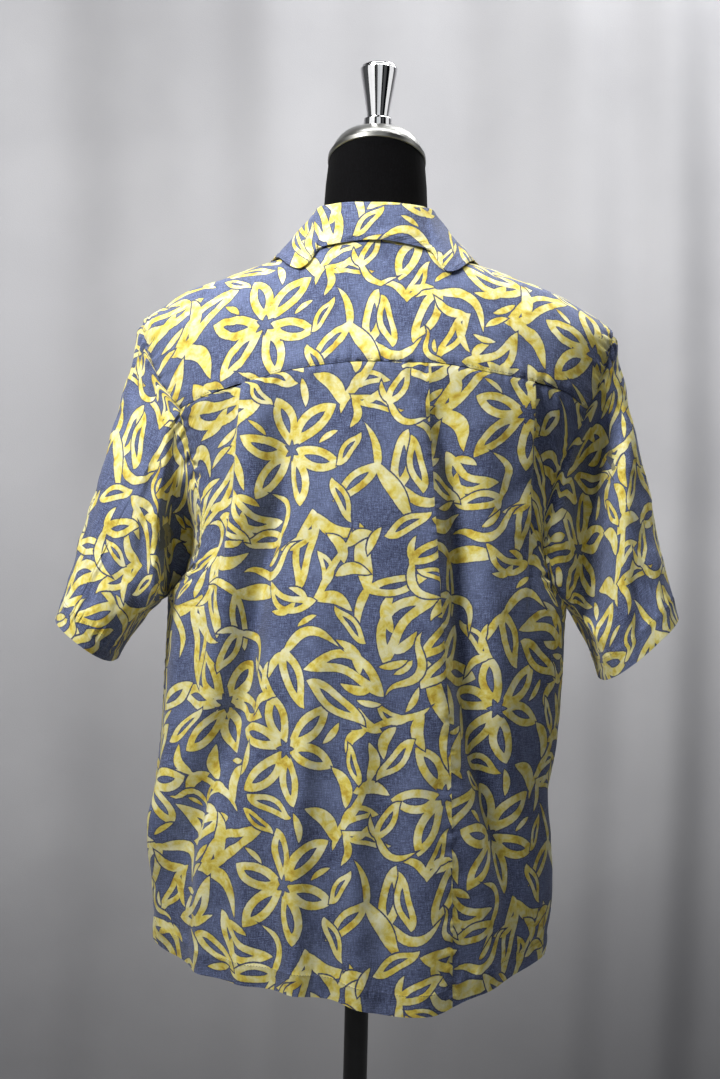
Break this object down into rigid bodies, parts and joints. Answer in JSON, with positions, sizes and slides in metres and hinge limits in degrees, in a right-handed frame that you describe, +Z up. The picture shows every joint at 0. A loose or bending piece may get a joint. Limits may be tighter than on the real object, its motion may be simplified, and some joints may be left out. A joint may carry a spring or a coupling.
{
  "type": "hawaiian shirt on dress form with stand",
  "caption": "Short-sleeved camp-collar shirt with a floral print, filled out on a limbless dress form that stands on a pole with a round foot.",
  "frame": {"origin": "on the floor, under the middle of the stand's round foot", "axes": "+Z up; the shirt's front faces -Y and its back +Y; +X is the wearer's left"},
  "size_m": [0.6444, 0.36, 1.6003],
  "materials": {
    "print": "blue woven cloth with a yellow flower and leaf print, matt",
    "button": "four-hole buttons, satin",
    "jersey": "tight black jersey over the form, matt",
    "satin_metal": "satin pewter-coloured metal",
    "chrome": "polished",
    "black_paint": "satin black"
  },
  "bodies": {
    "root": {"back": "print", "yoke": "print", "front_left": "print", "front_right": "print", "lapel_left": "print", "lapel_right": "print", "sleeve_left": "print", "sleeve_right": "print", "collar": "print", "button_1": "button", "button_2": "button", "button_3": "button", "button_4": "button", "button_5": "button", "button_6": "button", "form_torso": "jersey", "neck_cap": "satin_metal", "finial": "chrome", "pole": "black_paint", "base": "black_paint"}
  },
  "joints": []
}
